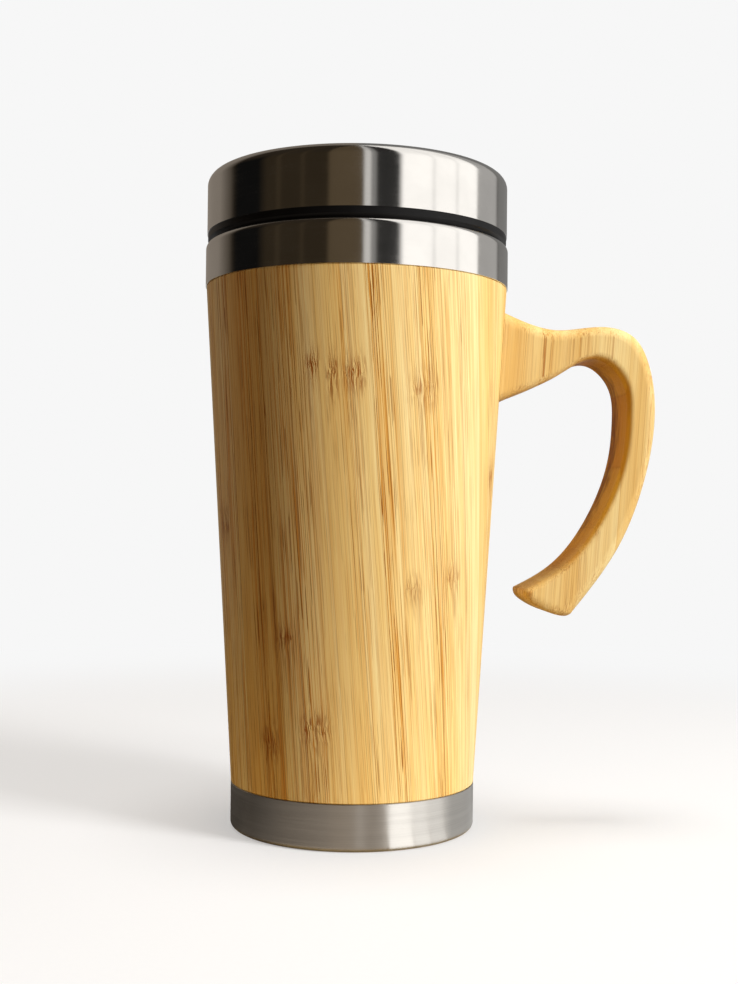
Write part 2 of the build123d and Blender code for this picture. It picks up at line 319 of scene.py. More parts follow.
# Node scars: angle round the mug in degrees, then height, half width and half height in metres,
# and depth
node_scars = [
    (-110.0, 0.1248, 0.0020, 0.0036, 1.1),
    (-102.5, 0.1222, 0.0016, 0.0050, 1.1),
    (-94.5, 0.1224, 0.0030, 0.0045, 1.1),
    (-68.5, 0.1192, 0.0044, 0.0050, 0.7),
    (-123.0, 0.0545, 0.0030, 0.0031, 1.0),
    (-70.0, 0.0680, 0.0025, 0.0034, 0.75),
    (-50.5, 0.0704, 0.0030, 0.0045, 0.75),
    (-110.0, 0.0314, 0.0041, 0.0050, 1.0),
    (-131.5, 0.0272, 0.0031, 0.0050, 1.0),
    (-22.0, 0.0980, 0.0030, 0.0048, 1.0),
    (30.0, 0.0450, 0.0034, 0.0048, 1.0),
    (52.0, 0.1260, 0.0039, 0.0050, 1.0),
    (59.0, 0.1225, 0.0021, 0.0048, 1.0),
    (84.0, 0.0860, 0.0030, 0.0045, 1.0),
    (104.0, 0.0400, 0.0039, 0.0050, 1.0),
    (133.0, 0.1120, 0.0034, 0.0048, 1.0),
    (141.0, 0.1135, 0.0021, 0.0042, 1.0),
    (152.0, 0.0600, 0.0030, 0.0045, 1.0),
    (176.0, 0.1290, 0.0037, 0.0048, 1.0),
    (-160.0, 0.0840, 0.0032, 0.0045, 1.0),
]


def sleeve_radius(height):
    """The cone's outer radius at a height."""
    return sleeve_foot_radius + sleeve_taper * (height - sleeve_foot_z)


def board_place(angle, height):
    """Where a point of the cone lay on the flat board, across and along its grain.

    A cone unrolls to a sector about its tip: the distance from the tip stays, and the angle
    round the axis shrinks by the sine of the cone's half angle.
    """
    slope = math.atan(sleeve_taper)
    from_tip = (height - sleeve_foot_z + sleeve_foot_radius / sleeve_taper) / math.cos(slope)
    turn = (angle - seam_angle - math.pi) * math.sin(slope)
    return from_tip * np.sin(turn), from_tip * np.cos(turn)


def lay_on_board(piece, rows, columns):
    """Gives a turned piece the UV map of the flat board, corner by corner, open at the seam."""
    angle = seam_angle + np.arange(columns + 1) * 2 * np.pi / columns
    points = np.empty(rows * columns * 3)
    piece.data.vertices.foreach_get("co", points)
    height = points.reshape(rows, columns, 3)[:, 0, 2]
    across, along = board_place(angle[None, :], height[:, None])
    flat = np.stack([across, along], axis=-1)
    upper = np.roll(flat, -1, axis=0)
    corners = [flat[:, :-1], flat[:, 1:], upper[:, 1:], upper[:, :-1]]
    layer = piece.data.uv_layers.new(name="board")
    layer.data.foreach_set("uv", np.stack(corners, axis=2).ravel())


def scar_fields(points):
    """Strength of the strongest node scar at each point, the height over its middle, and its tail.

    Each scar is a bell in arc length and height, times its depth. Its tail is a longer bell that
    hangs down the grain below it.
    """
    tail_cut = 1.4
    tail_length = 4.5
    angle = np.arctan2(points[:, 1], points[:, 0])
    strength = np.zeros(len(points))
    rise = np.zeros(len(points))
    tail = np.zeros(len(points))
    for degrees, height, half_width, half_height, depth in node_scars:
        turn = (angle - math.radians(degrees) + np.pi) % (2 * np.pi) - np.pi
        across = turn * sleeve_radius(height) / half_width
        over = (points[:, 2] - height) / half_height
        bell = depth * np.exp(-(across**4) - over**2)
        stronger = bell > strength
        strength = np.where(stronger, bell, strength)
        rise = np.where(stronger, over, rise)
        drop = np.where(over > 0, over * tail_cut, over / tail_length)
        tail = np.maximum(tail, depth * np.exp(-(across**4) - drop**2))
    return strength, rise, tail


def bamboo(name, place, strip_width, light, dark, fibre, streak, contrast, scars):
    """Lacquered bamboo strips. place(tree) gives the point in millimetres: across, deep, along.

    Strips are cells of one-dimensional Voronoi noise across the grain, each with its own tone and
    its own crowd of fibres, thicker to one edge. Fibres, veins and dashes are noise drawn out along
    the grain and cut off sharply.
    """
    material, tree, shader = new_material(name)
    point = add(tree, "ShaderNodeSeparateXYZ", {0: place(tree)})
    across, deep, along = point.outputs[0], point.outputs[1], point.outputs[2]

    def drawn_out(width, length, detail, shift=0.0):
        """Noise with features of that width across the grain and that length along it, in mm."""
        vector = add(
            tree,
            "ShaderNodeCombineXYZ",
            {
                0: maths(tree, "DIVIDE", across, width),
                1: maths(tree, "DIVIDE", deep, width),
                2: maths(tree, "ADD", maths(tree, "DIVIDE", along, length), shift),
            },
        ).outputs[0]
        return noise(tree, vector, 1.0, detail)

    def stained(colour, amount, share, stain):
        """The colour with a stain over it, by its amount times its share."""
        return mix(tree, maths(tree, "MULTIPLY", amount, share), colour, stain)

    if scars:
        scar = add(tree, "ShaderNodeAttribute", attribute_name="scar").outputs["Fac"]
        swerve = maths(tree, "MULTIPLY_ADD", drawn_out(1.8, 5.0, 1.0), 1.8, -0.9)
        across = maths(tree, "MULTIPLY_ADD", swerve, scar, across)
    column = maths(tree, "DIVIDE", across, strip_width)
    cells = {"W": column, "Scale": 1.0, "Randomness": 0.85}
    strip = add(tree, "ShaderNodeTexVoronoi", cells, voronoi_dimensions="1D")
    joint = add(tree, "ShaderNodeTexVoronoi", cells, voronoi_dimensions="1D", feature="DISTANCE_TO_EDGE")
    chance = add(tree, "ShaderNodeSeparateColor", {0: strip.outputs["Color"]})
    side = maths(tree, "SUBTRACT", column, strip.outputs["W"])
    facing = maths(tree, "SIGN", maths(tree, "SUBTRACT", chance.outputs[1], 0.5))
    crowd = remap(tree, maths(tree, "MULTIPLY", side, facing), -0.5, 0.5, 0.35, 1.1)
    crowd = maths(tree, "MULTIPLY", crowd, remap(tree, chance.outputs[2], 0.1, 0.9, 0.6, 1.1))
    shift = maths(tree, "MULTIPLY", chance.outputs[2], 90.0)

    cloud = drawn_out(2.4, 90.0, 1.0, shift)
    fine = drawn_out(0.30, 60.0, 1.0, shift)
    hair = drawn_out(0.13, 25.0, 1.0, shift)
    vein = drawn_out(0.40, 140.0, 1.0, shift)
    dash = drawn_out(0.30, 24.0, 1.0, shift)
    band = drawn_out(1.3, 130.0, 1.0, shift)

    tone = maths(tree, "MULTIPLY_ADD", chance.outputs[0], 0.45, maths(tree, "MULTIPLY", cloud, 0.7))
    colour = mix(tree, remap(tree, tone, 0.25, 0.85), light, dark)
    bands = maths(tree, "MULTIPLY", remap(tree, band, 0.53, 0.66), crowd)
    colour = stained(colour, bands, 0.35 * contrast, fibre)
    threads = remap(tree, hair, 0.38, 0.66)
    colour = stained(colour, threads, 0.27 * contrast, fibre)
    fibres = maths(tree, "MULTIPLY", remap(tree, fine, 0.53, 0.58), crowd)
    colour = stained(colour, fibres, 0.8 * contrast, fibre)
    veins = maths(tree, "MULTIPLY", remap(tree, vein, 0.59, 0.63), crowd)
    colour = stained(colour, veins, 0.6 * contrast, streak)
    dashes = maths(tree, "MULTIPLY", remap(tree, dash, 0.60, 0.63), crowd)
    colour = stained(colour, dashes, 0.9 * contrast, streak)
    seam = remap(tree, joint.outputs["Distance"], 0.0, 0.03, 1.0, 0.0)
    colour = stained(colour, seam, 0.25 * contrast, streak)
    relief = maths(tree, "MULTIPLY_ADD", fine, -0.5, maths(tree, "MULTIPLY", seam, -0.4))
    if scars:
        bark = tint(154, 82, 10)
        tail = add(tree, "ShaderNodeAttribute", attribute_name="scar_tail").outputs["Fac"]
        rise = add(tree, "ShaderNodeAttribute", attribute_name="scar_rise").outputs["Fac"]
        run = maths(tree, "MULTIPLY", remap(tree, drawn_out(0.45, 14.0, 2.0), 0.5, 0.62), tail)
        colour = stained(colour, run, 0.6, streak)
        ticks = maths(tree, "MULTIPLY", remap(tree, drawn_out(0.25, 5.5, 1.0), 0.50, 0.54), scar)
        colour = stained(colour, ticks, 0.9, bark)
        ripple = maths(tree, "MULTIPLY_ADD", drawn_out(1.1, 4.0, 2.0), 2.4, -1.2)
        ridge = maths(tree, "ABSOLUTE", maths(tree, "ADD", rise, ripple))
        core = remap(tree, scar, 0.35, 0.8)
        ridge = maths(tree, "MULTIPLY", remap(tree, ridge, 0.0, 0.14, 1.0, 0.0), core)
        colour = stained(colour, ridge, 0.3, bark)
        relief = maths(tree, "ADD", relief, maths(tree, "MULTIPLY_ADD", ticks, -1.0, ridge))
    else:
        # Painted shade on the inside of the hook: where the shade mask lies the colour is tinted honey,
        # and where it is deep it is browned
        shade_honey = tint(249, 218, 124)
        shade_brown = tint(124, 64, 14)
        hook_shade = add(tree, "ShaderNodeAttribute", attribute_name="hook_shade").outputs["Fac"]
        shade_mottle = maths(tree, "MULTIPLY_ADD", drawn_out(2.0, 7.0, 2.0), 0.8, 0.6)
        colour = mix(tree, remap(tree, hook_shade, 0.0, 0.5), colour, shade_honey, "MULTIPLY")
        deep_hook_shade = remap(tree, maths(tree, "MULTIPLY", hook_shade, shade_mottle), 0.6, 1.1, 0.0, 0.8)
        colour = mix(tree, deep_hook_shade, colour, shade_brown)
    tree.links.new(colour, shader.inputs["Base Color"])
    tree.links.new(remap(tree, fine, 0.3, 0.7, 0.4, 0.54), shader.inputs["Roughness"])
    bump = add(tree, "ShaderNodeBump", {"Strength": 0.35, "Distance": 0.0001, "Height": relief})
    tree.links.new(bump.outputs[0], shader.inputs["Normal"])
    shader.inputs["Specular IOR Level"].default_value = 0.1
    return material


def in_millimetres(tree, metres):
    """A place in metres as millimetres."""
    return add(tree, "ShaderNodeVectorMath", {0: metres, 3: 1000.0}, operation="SCALE").outputs[0]


def board_millimetres(tree):
    """The UV map of the flat board in millimetres: across, nothing deep, along."""
    flat = add(tree, "ShaderNodeUVMap", uv_map="board").outputs[0]
    axes = add(tree, "ShaderNodeSeparateXYZ", {0: flat})
    laid = add(tree, "ShaderNodeCombineXYZ", {0: axes.outputs[0], 2: axes.outputs[1]}).outputs[0]
    return in_millimetres(tree, laid)


outer_heights = np.linspace(sleeve_foot_z + edge_break, sleeve_head_z - edge_break, sleeve_rows)
sleeve_section = np.concatenate(
    [
        [
            (sleeve_radius(sleeve_low.z) - sleeve_wall, sleeve_low.z),
            (tenon_foot_radius, sleeve_low.z),
            (tenon_foot_radius, sleeve_foot_z),
            (sleeve_foot_radius - edge_break, sleeve_foot_z),
        ],
        np.stack([sleeve_radius(outer_heights), outer_heights], axis=1),
        [
            (sleeve_head_radius - edge_break, sleeve_head_z),
            (tenon_head_radius, sleeve_head_z),
            (tenon_head_radius, sleeve_high.z),
            (sleeve_head_radius - sleeve_wall, sleeve_high.z),
            (sleeve_head_radius - sleeve_wall, sleeve_head_z),
        ],
    ]
)
sleeve = turned("rolled_bamboo_sleeve", sleeve_section, sleeve_sides, seam_angle)
lay_on_board(sleeve, len(sleeve_section), sleeve_sides)
sleeve_points = np.empty(len(sleeve.data.vertices) * 3)
sleeve.data.vertices.foreach_get("co", sleeve_points)
scar_names = ("scar", "scar_rise", "scar_tail")
for field, values in zip(scar_names, scar_fields(sleeve_points.reshape(-1, 3))):
    sleeve.data.attributes.new(field, "FLOAT", "POINT").data.foreach_set("value", values)
sleeve.data.materials.append(
    bamboo(
        "lacquered bamboo",
        board_millimetres,
        strip_width=7.0,
        light=tint(250, 234, 174),
        dark=tint(242, 211, 136),
        fibre=tint(210, 144, 50),
        streak=tint(152, 92, 20),
        contrast=1.0,
        scars=True,
    )
)
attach(sleeve, "mug")
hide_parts("bamboo_sleeve")


# Steel liner
# The deep-drawn stainless cup that holds the drink, turned and brushed inside.
# Its rim is rolled outwards and welded to the collar; it hangs clear of the bamboo all round.

liner_low, liner_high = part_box("steel_liner")
liner_wall = 0.0006
air_gap = 0.0007
mouth_z = collar_high.z
mouth_radius = sleeve_head_radius - sleeve_wall - air_gap - liner_wall
liner_floor_z = liner_low.z + liner_wall
liner_floor_radius = sleeve_radius(liner_low.z) - sleeve_wall - air_gap - liner_wall
neck_depth = 0.016
rim_bend = 0.0016
neck_bend = 0.012
floor_bend = 0.006
liner_line = rounded_line(
    [
        (liner_high.x, mouth_z),
        (mouth_radius, mouth_z),
        (mouth_radius, mouth_z - neck_depth),
        (liner_floor_radius, liner_floor_z),
        (0.0, liner_floor_z),
    ],
    [rim_bend, neck_bend, floor_bend],
)
liner = turned("drawn_steel_liner", sheet_section(liner_line, liner_wall))
liner.data.materials.append(
    brushed_steel("brushed liner steel", tint(186, 184, 181), roughness=0.3, grain=0.2)
)
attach(liner, "mug")
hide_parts("steel_liner")


# Mouth collar
# A polished stainless band pressed over the head of the sleeve and turned in over the rim.
# It is welded to the liner's rolled edge, so the bamboo is gripped between the two.

collar_wall = 0.0006
shoulder_radius = 0.0018


def polished_steel(name, colour, roughness):
    """Buffed stainless steel: a mirror with faint lathe lines and cloudier patches in its gloss."""
    material, tree, shader = new_material(name)
    lines = lathe_lines(tree, fineness=3600.0)
    place = add(tree, "ShaderNodeTexCoord").outputs["Object"]
    cloud = noise(tree, place, 90.0, 4.0)
    wear = maths(tree, "MULTIPLY_ADD", lines, 0.6, maths(tree, "MULTIPLY", cloud, 0.4))
    gloss = remap(tree, wear, 0.35, 0.68, roughness * 0.7, roughness * 1.5, smooth=False)
    tree.links.new(gloss, shader.inputs["Roughness"])
    dull = dimmed(colour, 0.93)
    tree.links.new(mix(tree, remap(tree, cloud, 0.3, 0.7), dull, colour), shader.inputs["Base Color"])
    bump = add(tree, "ShaderNodeBump", {"Strength": 0.06, "Distance": 0.00001, "Height": lines})
    tree.links.new(bump.outputs[0], shader.inputs["Normal"])
    lathe_metal(tree, shader, stretch=0.6)
    return material


collar_steel = polished_steel("polished collar steel", tint(214, 212, 209), roughness=0.11)
collar_line = rounded_line(
    [(collar_high.x, collar_low.z), (collar_high.x, mouth_z), (liner_high.x, mouth_z)],
    [shoulder_radius],
)
collar = turned("polished_mouth_collar", sheet_section(collar_line, collar_wall))
collar.data.materials.append(collar_steel)
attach(collar, "mug")
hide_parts("mouth_collar")


# Handle
# One hook sawn from a board of bamboo strips glued face to face, rounded over and lacquered.
# Its root is cut hollow to sit on the sleeve, where screws hold it; its lower end is free.

_, handle_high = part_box("handle")
handle_half = handle_high.y
outer_rounding = 0.0035
inner_rounding = 0.0023
handle_end_rounding = 0.0016
root_drop = 0.019
root_z = sleeve_head_z - root_drop
root_x = sleeve_radius(root_z)
# Outlines as distance out from the sleeve and height over the middle of the root, in millimetres
handle_outer = [
    (0.0, 12.65),
    (5.2, 10.5),
    (14.4, 8.2),
    (29.3, 9.3),
    (36.9, 6.7),
    (41.6, -1.6),
    (43.2, -16.6),
    (40.1, -34.7),
    (32.9, -52.8),
    (18.9, -72.2),
]
handle_inner = [
    (-0.6, -12.1),
    (2.7, -10.6),
    (14.4, -5.2),
    (26.4, -0.2),
    (33.5, -6.4),
    (34.9, -16.1),
    (34.1, -25.6),
    (27.3, -44.6),
    (16.0, -58.8),
    (4.5, -65.6),
]
handle_end_bulge = 0.0014
handle_rings = 140
seat_rings = 10
root_rings = 7
end_rings = 8
grain_lean = math.radians(-4.0)


def smooth_line(points, count):
    """A natural cubic spline through the points, by chord length, at evenly spaced lengths.

    Its second derivatives solve the usual three-term system and are nought at both ends.
    """
    points = np.asarray(points, float)
    chord = np.linalg.norm(np.diff(points, axis=0), axis=1)
    knot = np.concatenate([[0], np.cumsum(chord)])
    system = np.eye(len(points))
    wanted = np.zeros_like(points)
    inner = np.arange(1, len(points) - 1)
    system[inner, inner - 1] = chord[:-1]
    system[inner, inner] = 2 * (chord[:-1] + chord[1:])
    system[inner, inner + 1] = chord[1:]
    slope = np.diff(points, axis=0) / chord[:, None]
    wanted[1:-1] = 6 * np.diff(slope, axis=0)
    bend = np.linalg.solve(system, wanted)

    def at(length):
        """The spline's point at a chord length."""
        span = np.clip(np.searchsorted(knot, length, side="right") - 1, 0, len(chord) - 1)
        size = chord[span][:, None]
        ahead = knot[span + 1][:, None] - length[:, None]
        behind = length[:, None] - knot[span][:, None]
        curve = (bend[span] * ahead**3 + bend[span + 1] * behind**3) / (6 * size)
        start = (points[span] / size - bend[span] * size / 6) * ahead
        end = (points[span + 1] / size - bend[span + 1] * size / 6) * behind
        return curve + start + end

    close_set = np.linspace(0, knot[-1], 2000)
    steps = np.linalg.norm(np.diff(at(close_set), axis=0), axis=1)
    run = np.concatenate([[0], np.cumsum(steps)])
    return at(np.interp(np.linspace(0, run[-1], count), run, close_set))


def rounded_oblong(half_width, half_depth, radii, steps=6):
    """An oblong with rounded corners, ring by ring: half_width is one number per ring.

    Each corner is a quarter circle about a centre set in by its radius from both sides, and
    points are spread along the flats between corners, close to their ends to keep them flat.
    """
    quarter = np.linspace(0, np.pi / 2, steps + 1)
    signs = [(1, 1), (-1, 1), (-1, -1), (1, -1)]
    wide, deep = [], []
    for turn, (x_sign, y_sign) in enumerate(signs):
        angle = quarter + turn * np.pi / 2
        radius = radii[turn]
        wide.append(x_sign * (half_width - radius)[:, None] + radius * np.cos(angle))
        depth = y_sign * (half_depth - radius) + radius * np.sin(angle)
        deep.append(np.outer(np.ones(len(half_width)), depth))
    share = np.array([0.03, 0.25, 0.5, 0.75, 0.97])
    ring_wide, ring_deep = [], []
    for side in range(4):
        following = (side + 1) % 4
        ring_wide.append(wide[side])
        ring_deep.append(deep[side])
        ring_wide.append(wide[side][:, -1:] * (1 - share) + wide[following][:, :1] * share)
        ring_deep.append(deep[side][:, -1:] * (1 - share) + deep[following][:, :1] * share)
    return np.concatenate(ring_wide, axis=1), np.concatenate(ring_deep, axis=1)


def seat_on_sleeve(places):
    """How far out in X the sleeve lies at each place's Y and Z, with the glue on it.

    X squared is the sleeve's radius at that height squared, less Y squared.
    """
    return np.sqrt((sleeve_radius(places[..., 2]) + glue_gap) ** 2 - places[..., 1] ** 2)


def carved_handle():
    """Rings across the handle from its root to its free end.

    Each ring is a rounded oblong on the line between the outer and inner outlines. At the root the
    rings shrink to a point on the sleeve's cone; at the free end they are drawn in by a quarter
    circle, shrink to a line and bulge a little.
    """
    millimetre = 0.001
    origin = np.array([[root_x, root_z]])
    outer = origin + smooth_line(handle_outer, handle_rings) * millimetre
    inner = origin + smooth_line(handle_inner, handle_rings) * millimetre
    end_across = unit(outer[-1] - inner[-1])
    end_out = np.array([end_across[1], -end_across[0]])
    outer_end = unit(outer[-1] - outer[-2])
    inner_end = unit(inner[-1] - inner[-2])
    # The outlines stop short of their ends by the rounding, which the last rings then fill
    shorten = handle_end_rounding * np.linspace(0, 1, handle_rings)[:, None] ** 8
    outer = outer - outer_end * shorten
    inner = inner - inner_end * shorten

    middle = (outer + inner) / 2
    half_width = np.linalg.norm(outer - inner, axis=1) / 2
    across = (outer - inner) / (2 * half_width[:, None])
    radii = [outer_rounding, inner_rounding, inner_rounding, outer_rounding]
    wide, deep = rounded_oblong(half_width, handle_half, radii)
    points = np.stack(
        [
            middle[:, :1] + across[:, :1] * wide,
            deep,
            middle[:, 1:] + across[:, 1:] * wide,
        ],
        axis=-1,
    )
    near_root = np.linspace(1, 0, seat_rings)[:, None] ** 2
    points[:seat_rings, :, 0] += near_root * (seat_on_sleeve(points[0]) - points[0, :, 0])[None, :]
    shrink = np.linspace(0.0, 0.96, root_rings)[:, None, None]
    centre = np.array([0, 0, root_z])[None, None, :]
    root = centre + (points[0][None] - centre) * shrink
    root[..., 0] = seat_on_sleeve(root)

    quarter = np.linspace(0, np.pi / 2, end_rings)[1:]
    inset = handle_end_rounding * (1 - np.cos(quarter))
    push = handle_end_rounding * np.sin(quarter)
    draw_in = np.concatenate([np.ones(len(quarter)), np.linspace(0.88, 0.0, end_rings)])
    inset = np.concatenate([inset, np.full(end_rings, inset[-1])])
    push = np.concatenate([push, np.full(end_rings, push[-1])])
    last_wide = wide[-1][None] / half_width[-1] * (half_width[-1] - inset[:, None])
    last_wide = last_wide * (0.7 + 0.3 * draw_in[:, None])
    last_deep = deep[-1][None] / handle_half * (handle_half - inset[:, None])
    last_deep = last_deep * draw_in[:, None]
    bulge = handle_end_bulge * (1 - (last_wide / half_width[-1]) ** 2)
    swell = np.concatenate([np.sin(quarter), np.ones(end_rings)])[:, None]
    outward = push[:, None] + bulge * swell
    end = np.stack(
        [
            middle[-1, 0] + across[-1, 0] * last_wide + end_out[0] * outward,
            last_deep,
            middle[-1, 1] + across[-1, 1] * last_wide + end_out[1] * outward,
        ],
        axis=-1,
    )
    return np.concatenate([root, points, end])


def handle_millimetres(tree):
    """The handle's own axes in millimetres, turned so that the grain runs down the board."""
    place = add(tree, "ShaderNodeTexCoord").outputs["Object"]
    turn = add(tree, "ShaderNodeMapping", {"Vector": place, "Rotation": (0.0, grain_lean, 0.0)})
    return in_millimetres(tree, turn.outputs[0])


handle_points = carved_handle()
handle = new_piece(
    "carved_bamboo_handle",
    handle_points,
    ring_faces(handle_points.shape[0], handle_points.shape[1], False)[:, ::-1],
    crease=50.0,
)
# Painted shade on the inside of the hook, deepest in its bend and towards its far edge. The inside
# of each ring is its points 12 to 29, counted from the far edge to the near one.
shaded_points = [12, 14, 20, 21, 22, 27, 29]
shaded_shares = [0.0, 1.0, 1.0, 0.75, 0.5, 0.45, 0.0]
inside = np.interp(np.arange(handle_points.shape[1]), shaded_points, shaded_shares)
along_handle = np.linspace(0, 1, handle_points.shape[0])
bend_middle = 0.50
bend_reach = 0.29
bend = np.exp(-(((along_handle - bend_middle) / bend_reach) ** 4))
hook_shade = handle.data.attributes.new("hook_shade", "FLOAT", "POINT")
hook_shade.data.foreach_set("value", np.outer(bend, inside).ravel())
weld(handle)
handle.data.materials.append(
    bamboo(
        "lacquered handle bamboo",
        handle_millimetres,
        strip_width=5.2,
        light=tint(241, 220, 158),
        dark=tint(228, 192, 119),
        fibre=tint(196, 136, 58),
        streak=tint(158, 94, 32),
        contrast=0.6,
        scars=False,
    )
)
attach(handle, "mug")
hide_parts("handle")
screw_steel = brushed_steel("screw steel", tint(168, 167, 166), roughness=0.3, grain=0.2)
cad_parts["handle_screws"].data.materials[0] = screw_steel


# Lid body
# One moulding of black plastic: a flange that sits on the rim, a sunk deck and a plug for the mouth.
# The slide's track, the drink hole and the vent are moulded in the deck.


def moulded_plastic(name, colour, roughness, grain):
    """Moulded plastic: a fine spark-eroded grain in the relief, and cloudy gloss from handling."""
    material, tree, shader = new_material(name)
    place = add(tree, "ShaderNodeTexCoord").outputs["Object"]
    sparks = noise(tree, place, 2600.0, 2.0)
    cloud = noise(tree, place, 60.0, 3.0)
    pale = tuple(min(1.0, 1.5 * part + 0.004) for part in colour[:3]) + (1.0,)
    tree.links.new(mix(tree, remap(tree, cloud, 0.4, 0.75), colour, pale), shader.inputs["Base Color"])
    gloss = remap(tree, cloud, 0.3, 0.7, roughness * 0.85, roughness * 1.2, smooth=False)
    tree.links.new(gloss, shader.inputs["Roughness"])
    bump = add(tree, "ShaderNodeBump", {"Strength": grain, "Distance": 0.00004, "Height": sparks})
    tree.links.new(bump.outputs[0], shader.inputs["Normal"])
    shader.inputs["Specular IOR Level"].default_value = 0.15
    return material


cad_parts["lid_body"].data.materials[0] = moulded_plastic(
    "black lid plastic", tint(13, 13, 14), roughness=0.36, grain=0.12
)


# Lid ring
# A polished stainless channel pressed down over the lid's rim, inside and out.

ring_low, ring_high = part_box("lid_ring")
ring_wall = 0.0006
ring_corner = 0.003
ring_width = 0.0046
lip_depth = 0.007
lip_corner = 0.0012
lip_radius = ring_high.x - ring_width
ring_line = rounded_line(
    [
        (ring_high.x, ring_low.z),
        (ring_high.x, ring_high.z),
        (lip_radius, ring_high.z),
        (lip_radius, ring_high.z - lip_depth),
    ],
    [ring_corner, lip_corner],
)
ring = turned("polished_lid_ring", sheet_section(ring_line, ring_wall))
ring.data.materials.append(polished_steel("polished ring steel", tint(214, 212, 209), roughness=0.11))
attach(ring, "lid")
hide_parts("lid_ring")


# Lid gasket and slide seal
# Soft white silicone: a lipped ring in the plug's groove, and a pad under the slide.


def silicone(name, colour):
    """Silicone rubber: milky, soft in the light, with a dusty bloom in its gloss."""
    material, tree, shader = new_material(name)
    place = add(tree, "ShaderNodeTexCoord").outputs["Object"]
    bloom = noise(tree, place, 260.0, 4.0)
    dusty = dimmed(colour, 0.9)
    tree.links.new(mix(tree, remap(tree, bloom, 0.35, 0.7), dusty, colour), shader.inputs["Base Color"])
    tree.links.new(remap(tree, bloom, 0.3, 0.7, 0.42, 0.6), shader.inputs["Roughness"])
    shader.inputs["Subsurface Weight"].default_value = 0.25
    shader.inputs["Subsurface Radius"].default_value = (0.002, 0.002, 0.002)
    return material


seal_silicone = silicone("white silicone", tint(222, 221, 216))
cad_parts["lid_gasket"].data.materials[0] = seal_silicone
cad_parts["slide_seal"].data.materials[0] = seal_silicone


# Drink slide
# A black plate with a scooped thumb grip; its stem drops through the deck and is staked to a washer.

slide_plastic = moulded_plastic("black slide plastic", tint(44, 44, 46), roughness=0.5, grain=0.3)
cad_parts["thumb_slide"].data.materials[0] = slide_plastic
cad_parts["slide_clip"].data.materials[0] = slide_plastic


# Table, lamps and camera
# A pale table that runs out to the same white as the background. Soft lamps and a dome of screens
# light the mug; the steel mirrors a second dome and cards on the table. The camera sees none of them.

table_radius = 3.0
table_colour = (0.93, 0.93, 0.93, 1.0)
near_table = 0.14
far_table = 0.5
bounce_fade = (0.05, 0.13)
near_bounce = (0.55, 0.40, 0.18, 1.0)
far_bounce = (0.063, 0.024, 0.0063, 1.0)
table_sides = 96
rings = np.array([1e-6, 0.05, 0.1, 0.2, 0.4, 0.8, 1.6, table_radius])
round_table = np.linspace(0, 2 * np.pi, table_sides, endpoint=False)
table_points = np.stack(
    [
        np.outer(rings, np.cos(round_table)),
        np.outer(rings, np.sin(round_table)),
        np.zeros((len(rings), table_sides)),
    ],
    axis=-1,
)


def looked_at(tree, rays):
    """One for a ray that shows a thing, straight or in steel, and nought for one that it lights."""
    seen = maths(tree, "MAXIMUM", rays.outputs["Is Camera Ray"], rays.outputs["Is Glossy Ray"])
    return maths(tree, "MAXIMUM", seen, rays.outputs["Is Transmission Ray"])


table = new_piece("pale_table", table_points, ring_faces(len(rings), table_sides, False)[:, ::-1])
table_material, tree, shader = new_material("pale table")
shader.inputs["Roughness"].default_value = 0.7
shader.inputs["Specular IOR Level"].default_value = 0.0
table_place = add(tree, "ShaderNodeTexCoord").outputs["Object"]
rays = add(tree, "ShaderNodeLightPath")
to_camera = rays.outputs["Is Camera Ray"]
speckle = noise(tree, table_place, 700.0, 2.0)
distance = add(tree, "ShaderNodeVectorMath", {0: table_place}, operation="LENGTH").outputs["Value"]
# To the camera the table is pale; the light it throws up on the mug is warm, and stronger near by
close = remap(tree, distance, *bounce_fade, 1.0, 0.0)
shaded = mix(tree, close, far_bounce, near_bounce)
pale = mix(tree, speckle, (0.88, 0.88, 0.88, 1.0), (0.91, 0.91, 0.91, 1.0))
tree.links.new(mix(tree, to_camera, shaded, pale), shader.inputs["Base Color"])
# Far out it glows in the background's white, half as bright where the steel mirrors it
brightness = remap(tree, to_camera, 0.0, 1.0, 0.5, 1.0)
glow = add(tree, "ShaderNodeEmission", {"Color": table_colour, "Strength": brightness})
far = remap(tree, distance, near_table, far_table)
lifted = maths(tree, "MULTIPLY", remap(tree, far, 0.0, 1.0, 0.45, 1.0), to_camera)
fade = maths(tree, "MAXIMUM", lifted, maths(tree, "MULTIPLY", far, looked_at(tree, rays)))
blend = add(tree, "ShaderNodeMixShader", {0: fade, 1: shader.outputs[0], 2: glow.outputs[0]})
tree.links.new(blend.outputs[0], tree.nodes["Material Output"].inputs["Surface"])
table.data.materials.append(table_material)

world = bpy.data.worlds.new("white studio")
bpy.context.scene.world = world
world.use_nodes = True
tree = world.node_tree
ambient = 0.32
seen = looked_at(tree, add(tree, "ShaderNodeLightPath"))
shade = mix(tree, seen, (ambient,) * 3 + (1.0,), table_colour)
tree.links.new(shade, tree.nodes["Background"].inputs["Color"])

camera_turn = math.radians(4.0)
camera_distance = 0.3706
camera_height = 0.0874
camera_yaw = math.radians(0.62)
camera_pitch = math.radians(0.88)
camera_roll = math.radians(0.55)
focal_pixels = 1310.5
photo_height = 984

